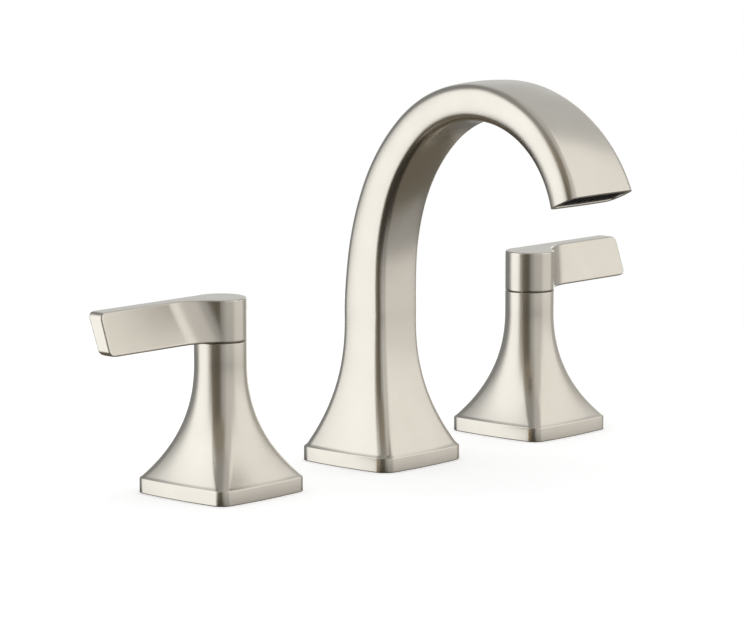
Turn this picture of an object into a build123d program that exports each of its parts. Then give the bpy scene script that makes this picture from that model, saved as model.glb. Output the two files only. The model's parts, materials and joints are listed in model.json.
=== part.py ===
from build123d import *
import math
import os

# Widespread bathroom faucet: a gooseneck spout between two lever valves.
# Millimetres. The origin is the middle of the spout's foot on the deck plane.
# X runs from the hot handle to the cold handle, Y runs back, Z runs up.

os.makedirs("parts", exist_ok=True)

# Layout on the deck
valve_spacing = 203.2
deck_thickness = 22.0

# Feet of the two escutcheons
foot_half = 26.9
foot_corner = 4.6
foot_bow = 0.9
foot_band_height = 6.3
foot_shoulder = 1.0
flare_top_height = 55.0
neck_radius = 11.2
neck_length = 9.8
escutcheon_wall = 2.0
gasket_thickness = 1.5
gasket_width = 4.0
gasket_inset = 1.6

# Spout foot
spout_foot_half = 27.1
spout_foot_corner = 5.8
spout_foot_bow = 0.9
spout_wall = 2.0

# Spout centreline: an upright riser, then four tangent arcs that tighten
riser_height = 66.5
riser_back = 0.7
first_bend_radius = 230.0
second_bend_radius = 114.0
third_bend_radius = 81.5
crown_bend_radius = 55.4
first_bend_angle = 5.4
second_bend_angle = 15.6
third_bend_angle = 24.5
crown_bend_angle = 116.65
mouth_tilt_angle = -6.5

# Spout section
riser_half_width = 13.65
riser_half_depth = 12.6
riser_corner = 4.6
riser_bow = 0.6
mouth_half_width = 21.8
mouth_half_depth = 8.0
mouth_corner = 5.0
mouth_bow = 0.4

# Lever
handle_gap = 0.8
hub_height = 17.6
hub_edge_round = 0.7
lever_reach = 67.0
blade_front_top = 3.4
blade_front_bottom = 2.8
blade_back_top = 10.9
blade_back_bottom = 4.2
blade_end_round = 3.0
blade_web_round = 12.0

# Lever socket and its fixing
spigot_radius = 8.0
spigot_depth = 5.6
socket_radius = 7.0
socket_depth = 17.0
set_screw_radius = 2.0
set_screw_length = 3.6
set_screw_drop = 11.0
set_screw_key = 1.0

# Valve stem and spline
stem_radius = 4.0
spline_radius = 4.8
spline_length = 14.0
spline_depth = 0.6
spline_teeth = 12
bushing_length = 8.0

# Ceramic cartridge
cartridge_radius = 9.0
cartridge_floor_depth = 6.0
seal_thickness = 2.0
disc_radius = 7.4
disc_thickness = 3.5
port_radius = 2.4
port_offset = 4.0
stem_flange_thickness = 4.0
drive_key_width = 3.0
drive_key_height = 1.2
cartridge_shoulder_height = 22.0
cartridge_neck_radius = 6.4
cartridge_neck_height = 42.0
cartridge_ring_section = 0.8
stem_ring_section = 0.6

# Valve body
shank_radius = 13.0
valve_top_radius = 12.0
valve_top_height = 26.0
valve_thread_top = 12.0
shank_tail = 9.5
valve_block_height = 18.0
inlet_thread_radius = 10.48
inlet_length = 16.0
inlet_bore_radius = 7.0
inlet_bore_length = 12.0
channel_radius = 2.8
port_thread_radius = 8.3
port_thread_length = 12.0
port_neck_radius = 7.2
outlet_reach = 27.0
outlet_bore_radius = 4.5

# Nuts, washers and flanges
gland_hex_across = 20.0
gland_hex_height = 4.0
web_thickness = 3.0
lock_nut_across = 15.4
lock_nut_height = 4.5
deck_flange_radius = 19.0
deck_flange_thickness = 4.0
washer_radius = 20.0
rubber_washer_thickness = 3.0
steel_washer_thickness = 1.5
mounting_nut_across = 36.0
mounting_nut_height = 8.0

# Spout connection
insert_thickness = 5.0
insert_boss_radius = 17.0
insert_boss_height = 7.0
insert_screw_spot = 16.5
screw_boss_radius = 3.3
screw_boss_height = 10.0
screw_radius = 1.5
screw_head_radius = 2.6
screw_head_height = 1.8
screw_length = 10.0
spout_shank_bore = 7.5
tube_radius = 4.0
tube_bore_radius = 3.1
tee_spigot_length = 10.0
tee_flange_thickness = 3.0
tee_height = 24.0
tee_body_radius = 10.0
tee_reach = 24.0
coupling_nut_radius = 17.0
coupling_nut_gap = 2.0
coupling_lip = 1.5

# Outlet
mouth_recess = 0.5
straightener_depth = 4.0
straightener_slots = 9
straightener_bar = 1.0
screen_thickness = 0.6
housing_length = 16.0
housing_wall = 1.2
housing_back = 5.0
restrictor_radius = 3.7
restrictor_thickness = 1.6
restrictor_hole_radius = 1.6

# Clearances
fit_clearance = 0.05
loose_clearance = 0.15
thread_clearance = 0.1
foot_clearance = 0.25
overrun = 1.0

# Shapes of the curves, all without unit
handle_flare_power_share = 2.12
handle_round_power_share = 2.0
spout_flare_power_share = 2.4
depth_taper_power_share = 2.5
depth_ease_share = 0.05
width_growth_power_share = 2.1
mouth_tilt_start_share = 0.9
flare_station_shares = (0.0, 0.06, 0.13, 0.22, 0.33, 0.46, 0.62, 0.8, 1.0)
bend_stations = 18
circle_split_share = 0.3

# Levels worked out from the sizes above
shoulder_height = foot_band_height + foot_shoulder
neck_height = flare_top_height + neck_length
hub_bottom = neck_height + handle_gap
hub_top = hub_bottom + hub_height
socket_bottom = hub_bottom - spigot_depth
socket_top = socket_bottom + socket_depth
insert_bottom = gasket_thickness
insert_top = insert_bottom + insert_thickness
fixed_disc_bottom = seal_thickness - cartridge_floor_depth
moving_disc_bottom = fixed_disc_bottom + disc_thickness
flange_bottom = moving_disc_bottom + disc_thickness
flange_top = flange_bottom + stem_flange_thickness
gland_top = valve_top_height + gland_hex_height
web_bottom = gland_top + thread_clearance
web_top = web_bottom + web_thickness
valve_x = valve_spacing / 2
set_screw_level = hub_top - set_screw_drop
spline_bottom = socket_top - handle_gap - spline_length
spline_groove_width = spline_radius * math.pi / spline_teeth
stem_ring_level = (flange_top + cartridge_shoulder_height) / 2
cartridge_ring_level = (flange_top + cartridge_shoulder_height) / 2
rubber_bottom = -deck_thickness - rubber_washer_thickness
steel_bottom = rubber_bottom - steel_washer_thickness
nut_bottom = steel_bottom - mounting_nut_height
shank_depth = shank_tail - nut_bottom
valve_block_depth = shank_depth + valve_block_height
inlet_depth = valve_block_depth + inlet_length
valve_port_level = -(shank_depth + valve_block_depth) / 2


def keep(piece, name):
    """Label a finished piece and write it under its node's name."""
    piece.part.label = name
    export_step(piece.part, f"parts/{name}.step")


def level_plane(centre_x, height):
    """Level plane over a point on the valves' line."""
    return Plane((centre_x, 0, height), x_dir=(1, 0, 0), z_dir=(0, 0, 1))


def turning_plane(centre_x, centre_y=0.0):
    """Upright plane through an upright axis, for half profiles in radius and height."""
    return Plane((centre_x, centre_y, 0), x_dir=(1, 0, 0), z_dir=(0, -1, 0))


def turning_axis(centre_x, centre_y=0.0):
    """Upright axis through a point of the deck."""
    return Axis((centre_x, centre_y, 0), (0, 0, 1))


def corner_touch(half_x, half_y, corner, bow):
    """Points of one quarter of a bowed rounded rectangle: mid-side, touch, corner, touch, mid-side.

    Each side is an arc through its mid-point that touches both corner circles from outside.
    """
    centre_x = half_x - bow - corner
    centre_y = half_y - bow - corner
    diagonal = corner / math.sqrt(2)
    points = [(half_x, 0)]
    if bow > 0:
        reach = corner + bow
        radius_x = (reach ** 2 + centre_y ** 2 - corner ** 2) / (2 * bow)
        radius_y = (reach ** 2 + centre_x ** 2 - corner ** 2) / (2 * bow)
        lean_x = math.asin(centre_y / (radius_x - corner))
        lean_y = math.asin(centre_x / (radius_y - corner))
    else:
        lean_x = 0.0
        lean_y = 0.0
    points.append((centre_x + corner * math.cos(lean_x), centre_y + corner * math.sin(lean_x)))
    points.append((centre_x + diagonal, centre_y + diagonal))
    points.append((centre_x + corner * math.sin(lean_y), centre_y + corner * math.cos(lean_y)))
    points.append((0, half_y))
    return points


def blended_quarter(half_x, half_y, corner, bow, roundness):
    """The quarter's points, moved towards a circle by a share from 0 to 1."""
    square = corner_touch(half_x, half_y, corner, bow)
    turn = math.pi / 2
    angles = (0.0, circle_split_share * turn, turn / 2, turn - circle_split_share * turn, turn)
    quarter = []
    for (x, y), angle in zip(square, angles):
        circle_x = half_x * math.cos(angle)
        circle_y = half_y * math.sin(angle)
        quarter.append((x + (circle_x - x) * roundness, y + (circle_y - y) * roundness))
    return quarter


def section_face(plane, half_x, half_y, corner, bow=0.0, roundness=0.0):
    """Closed outline of four sides and four corners, drawn on a plane."""
    quarter = blended_quarter(half_x, half_y, corner, bow, roundness)
    signs = ((1, 1), (-1, 1), (-1, -1), (1, -1))
    touches = []
    corners = []
    for index, (sign_x, sign_y) in enumerate(signs):
        pair = [quarter[1], quarter[3]]
        if index % 2 == 1:
            pair.reverse()
        touches += [(sign_x * x, sign_y * y) for x, y in pair]
        corners.append((sign_x * quarter[2][0], sign_y * quarter[2][1]))
    sides = ((0, quarter[4][1]), (-quarter[0][0], 0), (0, -quarter[4][1]), (quarter[0][0], 0))
    with BuildSketch(plane) as outline:
        with BuildLine():
            for index in range(len(signs)):
                first = touches[2 * index]
                second = touches[2 * index + 1]
                following = touches[(2 * index + 2) % len(touches)]
                ThreePointArc(first, corners[index], second)
                if bow > 0 or roundness > 0:
                    ThreePointArc(second, sides[index], following)
                else:
                    Line(second, following)
        make_face()
    return outline.sketch


def ring_solid(centres, outer_radius, inner_radius, bottom, top):
    """Plain rings about upright axes, one at each centre."""
    with BuildPart() as ring:
        with BuildSketch(Plane.XY.offset(bottom)):
            with Locations(*centres):
                Circle(outer_radius)
            if inner_radius > 0:
                with Locations(*centres):
                    Circle(inner_radius, mode=Mode.SUBTRACT)
        extrude(amount=top - bottom)
    return ring


def hex_nut(centres, across, inner_radius, bottom, top):
    """Hexagonal nuts about upright axes, one at each centre."""
    with BuildPart() as nut:
        with BuildSketch(Plane.XY.offset(bottom)):
            with Locations(*centres):
                RegularPolygon(across / 2, 6, major_radius=False)
            with Locations(*centres):
                Circle(inner_radius, mode=Mode.SUBTRACT)
        extrude(amount=top - bottom)
    return nut


def o_ring(centres, middle_radius, section_radius, level):
    """Round rubber rings about upright axes."""
    with BuildPart() as ring:
        for x, y in centres:
            with BuildSketch(turning_plane(x, y)):
                with Locations((middle_radius, level)):
                    Circle(section_radius)
            revolve(axis=turning_axis(x, y))
    return ring


def escutcheon_section(centre_x, height, inset):
    """Section of an escutcheon's flare: a bowed square at the foot, a circle at the neck."""
    share = (flare_top_height - height) / (flare_top_height - shoulder_height)
    share = min(max(share, 0.0), 1.0)
    foot = foot_half - foot_shoulder
    half = neck_radius + (foot - neck_radius) * share ** handle_flare_power_share - inset
    roundness = 1 - share ** handle_round_power_share
    plane = level_plane(centre_x, height)
    scale = half / foot
    return section_face(plane, half, half, foot_corner * scale, foot_bow * scale, roundness)


def spout_centre(distance):
    """Point and tangent of the spout's centreline at a distance from the deck, in the YZ plane."""
    forward = -riser_back
    height = min(distance, riser_height)
    angle = 0.0
    rest = distance - height
    bends = (
        (first_bend_radius, first_bend_angle),
        (second_bend_radius, second_bend_angle),
        (third_bend_radius, third_bend_angle),
        (crown_bend_radius, crown_bend_angle),
    )
    for radius, degrees in bends:
        turn = min(math.radians(degrees), rest / radius)
        forward += radius * (math.cos(angle) - math.cos(angle + turn))
        height += radius * (math.sin(angle + turn) - math.sin(angle))
        angle += turn
        rest -= radius * turn
        if rest <= 0:
            break
    return forward, height, angle


bend_length = math.radians(first_bend_angle) * first_bend_radius
bend_length += math.radians(second_bend_angle) * second_bend_radius
bend_length += math.radians(third_bend_angle) * third_bend_radius
bend_length += math.radians(crown_bend_angle) * crown_bend_radius
spout_length = riser_height + bend_length


def spout_plane(distance):
    """Plane square to the centreline, whose Y points to the outside of the bend."""
    forward, height, angle = spout_centre(distance)
    flare = min(max((riser_height - distance) / (riser_height - shoulder_height), 0.0), 1.0)
    forward += riser_back * flare ** spout_flare_power_share
    bend = max((distance - riser_height) / bend_length, 0.0)
    tilt_share = max((bend - mouth_tilt_start_share) / (1 - mouth_tilt_start_share), 0.0)
    angle += math.radians(mouth_tilt_angle) * tilt_share ** 2
    normal = (0, -math.sin(angle), math.cos(angle))
    return Plane((0, -forward, height), x_dir=(1, 0, 0), z_dir=normal)


def spout_size(distance):
    """Half width, half depth, corner radius and side bow at a distance along the centreline."""
    if distance < riser_height:
        share = (riser_height - distance) / (riser_height - shoulder_height)
        share = min(share, 1.0)
        growth = share ** spout_flare_power_share
        foot = spout_foot_half - foot_shoulder
        half_width = riser_half_width + (foot - riser_half_width) * growth
        half_depth = riser_half_depth + (foot - riser_half_depth) * growth
        corner = riser_corner + (spout_foot_corner - riser_corner) * share
        bow = riser_bow + (spout_foot_bow - riser_bow) * growth
        return half_width, half_depth, corner, bow
    share = (distance - riser_height) / bend_length
    eased = share ** 2 * (1 + depth_ease_share) / (share + depth_ease_share)
    taper = max(1 - eased, 0.0) ** depth_taper_power_share
    half_width = riser_half_width + (mouth_half_width - riser_half_width) * share ** width_growth_power_share
    half_depth = mouth_half_depth + (riser_half_depth - mouth_half_depth) * taper
    corner = riser_corner + (mouth_corner - riser_corner) * share
    bow = riser_bow + (mouth_bow - riser_bow) * share
    return half_width, half_depth, corner, bow


def spout_section(distance, inset=0.0):
    """Section of the spout at a distance along its centreline, drawn in by an inset."""
    half_width, half_depth, corner, bow = spout_size(distance)
    inner_corner = max(corner - inset, corner / 3)
    return section_face(spout_plane(distance), half_width - inset, half_depth - inset, inner_corner, bow)


def spout_stations(start, end):
    """Distances along the centreline at which the spout is drawn."""
    flare = [shoulder_height + (riser_height - shoulder_height) * share for share in flare_station_shares]
    bends = [riser_height + bend_length * (index + 1) / bend_stations for index in range(bend_stations)]
    margin = (end - start) / (2 * bend_stations)
    inner = [d for d in flare + bends if start + margin < d < end - margin]
    middle = (start + end) / 2
    return [start] + (inner or [middle]) + [end]


def spout_stretch(start, end, inset=0.0):
    """Faces to loft for a stretch of the spout."""
    return [spout_section(distance, inset) for distance in spout_stations(start, end)]


def build_lever(side, centre_x, outward):
    """Lever: a hub over the neck and a leaning blade, with a socket and a set screw hole."""
    blade = (
        (-blade_front_bottom, hub_bottom),
        (blade_front_top, hub_top),
        (blade_back_top, hub_top),
        (blade_back_bottom, hub_bottom),
    )
    with BuildPart() as lever:
        with BuildSketch(Plane((centre_x, 0, 0), x_dir=(0, 1, 0), z_dir=(1, 0, 0))):
            with BuildLine():
                Polyline(*blade, close=True)
            make_face()
        extrude(amount=outward * lever_reach)
        end_face = lever.faces().sort_by(Axis.X, reverse=outward > 0)[0]
        fillet(end_face.edges().filter_by(Axis.Y), radius=blade_end_round)
        with BuildSketch(level_plane(centre_x, hub_bottom)):
            Circle(neck_radius)
        extrude(amount=hub_height)
        web_edge = lever.edges().filter_by(GeomType.ELLIPSE).sort_by(SortBy.LENGTH)[-2:].sort_by(Axis.Y)[0]
        fillet(web_edge, radius=blade_web_round)
        fillet(lever.faces().filter_by(Axis.Z).sort_by(Axis.Z)[-1].edges(), radius=hub_edge_round)
        with BuildSketch(level_plane(centre_x, socket_bottom)):
            Circle(spigot_radius)
        extrude(amount=spigot_depth)
        with BuildSketch(level_plane(centre_x, socket_bottom)):
            Circle(socket_radius)
        extrude(amount=socket_depth, mode=Mode.SUBTRACT)
        with BuildSketch(Plane((centre_x, 0, set_screw_level), x_dir=(1, 0, 0), z_dir=(0, 1, 0))):
            Circle(set_screw_radius + thread_clearance)
        extrude(amount=neck_radius + overrun, mode=Mode.SUBTRACT)
    keep(lever, f"{side}_lever")


def build_set_screw(side, centre_x):
    """Headless screw behind the hub that bears on the spline adapter."""
    with BuildPart() as screw:
        with BuildSketch(Plane((centre_x, socket_radius, set_screw_level), x_dir=(1, 0, 0), z_dir=(0, 1, 0))):
            Circle(set_screw_radius)
        extrude(amount=set_screw_length)
        back = screw.faces().sort_by(Axis.Y)[-1]
        with BuildSketch(Plane(back)):
            RegularPolygon(set_screw_key, 6)
        extrude(amount=-set_screw_length / 2, mode=Mode.SUBTRACT)
    keep(screw, f"{side}_set_screw")


def build_spline_adapter(side, centre_x):
    """Brass sleeve in the lever's socket, ribbed inside to take the stem's spline."""
    bore = spline_radius + fit_clearance
    rib_tip = spline_radius - spline_depth + fit_clearance
    rib_root = spline_radius + spline_depth
    rib_width = spline_groove_width - 2 * fit_clearance
    with BuildPart() as adapter:
        with BuildSketch(level_plane(centre_x, socket_bottom)):
            Circle(socket_radius - fit_clearance)
            Circle(bore, mode=Mode.SUBTRACT)
            with PolarLocations((rib_tip + rib_root) / 2, spline_teeth):
                Rectangle(rib_root - rib_tip, rib_width)
        extrude(amount=socket_depth - thread_clearance)
    keep(adapter, f"{side}_spline_adapter")


def build_stem(side, centre_x):
    """Valve stem: drive key, flange, ring groove, long shaft and splined head."""
    groove_radius = stem_radius - 2 * stem_ring_section - loose_clearance
    groove_half = stem_ring_section + fit_clearance
    profile = (
        (0, flange_bottom),
        (disc_radius, flange_bottom),
        (disc_radius, flange_top),
        (stem_radius, flange_top),
        (stem_radius, stem_ring_level - groove_half),
        (groove_radius, stem_ring_level - groove_half),
        (groove_radius, stem_ring_level + groove_half),
        (stem_radius, stem_ring_level + groove_half),
        (stem_radius, spline_bottom),
        (spline_radius, spline_bottom),
        (spline_radius, spline_bottom + spline_length),
        (0, spline_bottom + spline_length),
    )
    with BuildPart() as stem:
        with BuildSketch(turning_plane(centre_x)):
            with BuildLine():
                Polyline(*profile, close=True)
            make_face()
        revolve(axis=turning_axis(centre_x))
        with BuildSketch(level_plane(centre_x, spline_bottom)):
            with PolarLocations(spline_radius, spline_teeth):
                Rectangle(2 * spline_depth, spline_groove_width)
        extrude(amount=spline_length, mode=Mode.SUBTRACT)
        with BuildSketch(level_plane(centre_x, flange_bottom)):
            Rectangle(drive_key_width, 2 * port_offset)
        extrude(amount=-drive_key_height)
    keep(stem, f"{side}_stem")


def build_moving_disc(side, centre_x):
    """Turning ceramic disc: a slot above for the drive key, a bridging recess below."""
    with BuildPart() as disc:
        with BuildSketch(level_plane(centre_x, moving_disc_bottom)):
            Circle(disc_radius)
        extrude(amount=disc_thickness)
        with BuildSketch(level_plane(centre_x, flange_bottom)):
            slot_length = 2 * port_offset + 2 * thread_clearance
            Rectangle(drive_key_width + 2 * thread_clearance, slot_length)
        extrude(amount=-drive_key_height - thread_clearance, mode=Mode.SUBTRACT)
        with BuildSketch(level_plane(centre_x, moving_disc_bottom)):
            SlotCenterToCenter(2 * port_offset, 2 * port_radius, rotation=90)
        extrude(amount=disc_thickness / 3, mode=Mode.SUBTRACT)
    keep(disc, f"{side}_moving_disc")


def build_escutcheon(side, centre_x):
    """Hollow flared cover: band, shoulder, flare and neck, with a web that the lock nut clamps."""
    levels = [flare_top_height - (flare_top_height - shoulder_height) * share for share in flare_station_shares]
    levels.sort()
    cavity_levels = [shoulder_height] + [h for h in levels if shoulder_height < h < web_bottom] + [web_bottom]
    upper_levels = [web_top] + [h for h in levels if web_top < h < flare_top_height] + [flare_top_height]
    seat_half = foot_half - gasket_inset
    with BuildPart() as escutcheon:
        band = section_face(level_plane(centre_x, 0), foot_half, foot_half, foot_corner, foot_bow)
        extrude(band, amount=foot_band_height)
        edge = section_face(level_plane(centre_x, foot_band_height), foot_half, foot_half, foot_corner, foot_bow)
        loft([edge, escutcheon_section(centre_x, shoulder_height, 0)], ruled=True)
        loft([escutcheon_section(centre_x, height, 0) for height in levels])
        with BuildSketch(level_plane(centre_x, flare_top_height)):
            Circle(neck_radius)
        extrude(amount=neck_height - flare_top_height)
        fillet(escutcheon.edges().group_by(Axis.Z)[-1], radius=hub_edge_round / 2)
        seat = section_face(level_plane(centre_x, 0), seat_half, seat_half, foot_corner, foot_bow)
        extrude(seat, amount=gasket_thickness, mode=Mode.SUBTRACT)
        well = escutcheon_section(centre_x, shoulder_height, escutcheon_wall)
        extrude(well, amount=-shoulder_height, mode=Mode.SUBTRACT)
        cavity = [escutcheon_section(centre_x, height, escutcheon_wall) for height in cavity_levels]
        loft(cavity, mode=Mode.SUBTRACT)
        upper = [escutcheon_section(centre_x, height, escutcheon_wall) for height in upper_levels]
        loft(upper, mode=Mode.SUBTRACT)
        with BuildSketch(level_plane(centre_x, flare_top_height)):
            Circle(neck_radius - escutcheon_wall)
        extrude(amount=neck_height - flare_top_height + overrun, mode=Mode.SUBTRACT)
        with BuildSketch(level_plane(centre_x, web_bottom)):
            Circle(cartridge_neck_radius + loose_clearance)
        extrude(amount=web_thickness, mode=Mode.SUBTRACT)
    keep(escutcheon, f"{side}_escutcheon")


def build_foot_gasket(name, centre_x, half, corner, bow):
    """Flat foam gasket under the rim of a foot."""
    outer_half = half - gasket_inset - foot_clearance
    inner_half = outer_half - gasket_width
    with BuildPart() as gasket:
        outer = section_face(level_plane(centre_x, 0), outer_half, outer_half, corner, bow)
        inner = section_face(level_plane(centre_x, 0), inner_half, inner_half, corner, bow)
        extrude(outer, amount=gasket_thickness)
        extrude(inner, amount=gasket_thickness, mode=Mode.SUBTRACT)
    keep(gasket, name)


def build_cartridge_body(side, centre_x):
    """Brass cartridge shell: a skirt round the discs and a long neck that guides the stem."""
    skirt = disc_radius + loose_clearance
    guide = stem_radius + fit_clearance
    groove_radius = cartridge_radius - 2 * cartridge_ring_section - loose_clearance
    groove_half = cartridge_ring_section + fit_clearance
    profile = (
        (skirt, fixed_disc_bottom),
        (cartridge_radius, fixed_disc_bottom),
        (cartridge_radius, cartridge_ring_level - groove_half),
        (groove_radius, cartridge_ring_level - groove_half),
        (groove_radius, cartridge_ring_level + groove_half),
        (cartridge_radius, cartridge_ring_level + groove_half),
        (cartridge_radius, cartridge_shoulder_height),
        (cartridge_neck_radius, cartridge_shoulder_height),
        (cartridge_neck_radius, cartridge_neck_height),
        (guide, cartridge_neck_height),
        (guide, flange_top + loose_clearance),
        (skirt, flange_top + loose_clearance),
    )
    with BuildPart() as body:
        with BuildSketch(turning_plane(centre_x)):
            with BuildLine():
                Polyline(*profile, close=True)
            make_face()
        revolve(axis=turning_axis(centre_x))
    keep(body, f"{side}_cartridge_body")


def build_ported_disc(name, centre_x, radius, hole_radius, bottom, thickness):
    """Disc with two through ports on the valves' line."""
    with BuildPart() as disc:
        with BuildSketch(level_plane(centre_x, bottom)):
            Circle(radius)
            with Locations((port_offset, 0), (-port_offset, 0)):
                Circle(hole_radius, mode=Mode.SUBTRACT)
        extrude(amount=thickness)
    keep(disc, name)


def build_cartridge_nut(side, centre_x):
    """Gland nut: a plug threaded into the valve body under a hexagon."""
    bore = cartridge_neck_radius + thread_clearance
    with BuildPart() as nut:
        with BuildSketch(level_plane(centre_x, cartridge_shoulder_height)):
            Circle(cartridge_radius)
            Circle(bore, mode=Mode.SUBTRACT)
        extrude(amount=valve_top_height - cartridge_shoulder_height)
        with BuildSketch(level_plane(centre_x, valve_top_height)):
            RegularPolygon(gland_hex_across / 2, 6, major_radius=False)
            Circle(bore, mode=Mode.SUBTRACT)
        extrude(amount=gland_hex_height)
    keep(nut, f"{side}_cartridge_nut")


def build_valve_body(side, centre_x, outward):
    """Brass end valve: threaded shank, cartridge pocket, inlet below and outlet towards the spout."""
    profile = (
        (0, -inlet_depth),
        (inlet_thread_radius, -inlet_depth),
        (inlet_thread_radius, -valve_block_depth),
        (valve_top_radius, -valve_block_depth),
        (valve_top_radius, -shank_depth),
        (shank_radius, -shank_depth),
        (shank_radius, valve_thread_top),
        (valve_top_radius, valve_thread_top),
        (valve_top_radius, valve_top_height),
        (0, valve_top_height),
    )
    port_plane = Plane((centre_x, 0, valve_port_level), x_dir=(0, 1, 0), z_dir=(-outward, 0, 0))
    with BuildPart() as body:
        with BuildSketch(turning_plane(centre_x)):
            with BuildLine():
                Polyline(*profile, close=True)
            make_face()
        revolve(axis=turning_axis(centre_x))
        with BuildSketch(port_plane):
            Circle(port_neck_radius)
        extrude(amount=outlet_reach)
        with BuildSketch(port_plane.offset(outlet_reach - port_thread_length)):
            Circle(port_thread_radius)
        extrude(amount=port_thread_length)
        with BuildSketch(level_plane(centre_x, -cartridge_floor_depth)):
            Circle(cartridge_radius + thread_clearance)
        extrude(amount=cartridge_floor_depth + valve_top_height, mode=Mode.SUBTRACT)
        with BuildSketch(level_plane(centre_x, inlet_bore_length - inlet_depth)):
            with Locations((outward * port_offset, 0)):
                Circle(channel_radius)
        extrude(amount=inlet_depth - inlet_bore_length - cartridge_floor_depth, mode=Mode.SUBTRACT)
        with BuildSketch(level_plane(centre_x, -inlet_depth)):
            Circle(inlet_bore_radius)
        extrude(amount=inlet_bore_length, mode=Mode.SUBTRACT)
        with BuildSketch(level_plane(centre_x, valve_port_level)):
            with Locations((-outward * port_offset, 0)):
                Circle(channel_radius)
        extrude(amount=-valve_port_level - cartridge_floor_depth, mode=Mode.SUBTRACT)
        with BuildSketch(port_plane.offset(port_offset - channel_radius - overrun)):
            Circle(outlet_bore_radius)
        extrude(amount=outlet_reach, mode=Mode.SUBTRACT)
    keep(body, f"{side}_valve_body")


def build_valve(side, outward):
    """All pieces of one valve and its handle."""
    centre_x = outward * valve_x
    centre = [(centre_x, 0)]
    build_lever(side, centre_x, outward)
    build_set_screw(side, centre_x)
    build_spline_adapter(side, centre_x)
    build_stem(side, centre_x)
    keep(o_ring(centre, stem_radius - stem_ring_section, stem_ring_section, stem_ring_level), f"{side}_stem_o_ring")
    build_moving_disc(side, centre_x)
    build_escutcheon(side, centre_x)
    build_foot_gasket(f"{side}_foot_gasket", centre_x, foot_half, foot_corner, foot_bow)
    neck_bore = neck_radius - escutcheon_wall - fit_clearance
    spigot_bore = spigot_radius + fit_clearance
    bushing_bottom = neck_height - bushing_length
    keep(ring_solid(centre, neck_bore, spigot_bore, bushing_bottom, neck_height), f"{side}_neck_bushing")
    build_cartridge_body(side, centre_x)
    fixed_disc = f"{side}_fixed_disc"
    build_ported_disc(fixed_disc, centre_x, disc_radius, port_radius, fixed_disc_bottom, disc_thickness)
    seal = f"{side}_cartridge_seal"
    build_ported_disc(seal, centre_x, cartridge_radius, channel_radius, -cartridge_floor_depth, seal_thickness)
    ring_radius = cartridge_radius - cartridge_ring_section
    ring = o_ring(centre, ring_radius, cartridge_ring_section, cartridge_ring_level)
    keep(ring, f"{side}_cartridge_o_ring")
    build_cartridge_nut(side, centre_x)
    lock_bore = cartridge_neck_radius + thread_clearance
    lock_nut = hex_nut(centre, lock_nut_across, lock_bore, web_top, web_top + lock_nut_height)
    keep(lock_nut, f"{side}_escutcheon_nut")
    build_valve_body(side, centre_x, outward)
    flange_bore = shank_radius + thread_clearance
    keep(ring_solid(centre, deck_flange_radius, flange_bore, 0, deck_flange_thickness), f"{side}_deck_flange")


build_valve("hot", -1)
build_valve("cold", 1)

# Under the deck: one set of washers and a nut on each of the three shanks
shanks = [(-valve_x, 0), (0, 0), (valve_x, 0)]
shank_hole = shank_radius + thread_clearance
keep(ring_solid(shanks, washer_radius, shank_hole, rubber_bottom, -deck_thickness), "rubber_washers")
keep(ring_solid(shanks, washer_radius, shank_hole, steel_bottom, rubber_bottom), "steel_washers")
keep(hex_nut(shanks, mounting_nut_across, shank_hole, nut_bottom, steel_bottom), "mounting_nuts")

# Spout body: a hollow casting, open at its foot and its mouth
spout_well_half = spout_foot_half - foot_shoulder - spout_wall
screw_spots = [
    (sign_x * insert_screw_spot, sign_y * insert_screw_spot)
    for sign_x in (-1, 1)
    for sign_y in (-1, 1)
]
with BuildPart() as spout_body:
    spout_seat_half = spout_foot_half - gasket_inset
    foot_outline = (spout_foot_half, spout_foot_half, spout_foot_corner, spout_foot_bow)
    extrude(section_face(level_plane(0, 0), *foot_outline), amount=foot_band_height)
    spout_edge = section_face(level_plane(0, foot_band_height), *foot_outline)
    loft([spout_edge, spout_section(shoulder_height)], ruled=True)
    loft(spout_stretch(shoulder_height, spout_length))
    spout_seat = section_face(level_plane(0, 0), spout_seat_half, spout_seat_half, spout_foot_corner, spout_foot_bow)
    extrude(spout_seat, amount=gasket_thickness, mode=Mode.SUBTRACT)
    extrude(spout_section(shoulder_height, spout_wall), amount=-shoulder_height, mode=Mode.SUBTRACT)
    loft(spout_stretch(shoulder_height, spout_length, spout_wall), mode=Mode.SUBTRACT)
    with BuildSketch(Plane.XY.offset(insert_top)):
        with Locations(*screw_spots):
            Circle(screw_boss_radius)
    extrude(amount=screw_boss_height)
    with BuildSketch(Plane.XY.offset(insert_top)):
        with Locations(*screw_spots):
            Circle(screw_radius + thread_clearance)
    extrude(amount=screw_boss_height - overrun, mode=Mode.SUBTRACT)
keep(spout_body, "spout_body")

# Waterway tube along the spout's centreline
tube_bottom = -shank_depth - tee_flange_thickness - tee_spigot_length / 3
housing_start = spout_length - mouth_recess - housing_length
tube_end = housing_start + housing_back / 2
crown_start_length = spout_length - math.radians(crown_bend_angle) * crown_bend_radius
crown_tube_angle = math.degrees((tube_end - crown_start_length) / crown_bend_radius)
with BuildPart() as waterway_tube:
    with BuildLine(Plane.YZ) as tube_path:
        riser_line = Line((riser_back, tube_bottom), (riser_back, riser_height))
        first_arc = JernArc(riser_line @ 1, riser_line % 1, first_bend_radius, first_bend_angle)
        second_arc = JernArc(first_arc @ 1, first_arc % 1, second_bend_radius, second_bend_angle)
        third_arc = JernArc(second_arc @ 1, second_arc % 1, third_bend_radius, third_bend_angle)
        JernArc(third_arc @ 1, third_arc % 1, crown_bend_radius, crown_tube_angle)
    with BuildSketch(Plane((0, riser_back, tube_bottom), x_dir=(1, 0, 0), z_dir=(0, 0, 1))):
        Circle(tube_radius)
        Circle(tube_bore_radius, mode=Mode.SUBTRACT)
    sweep(path=tube_path.line)
keep(waterway_tube, "waterway_tube")

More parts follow.
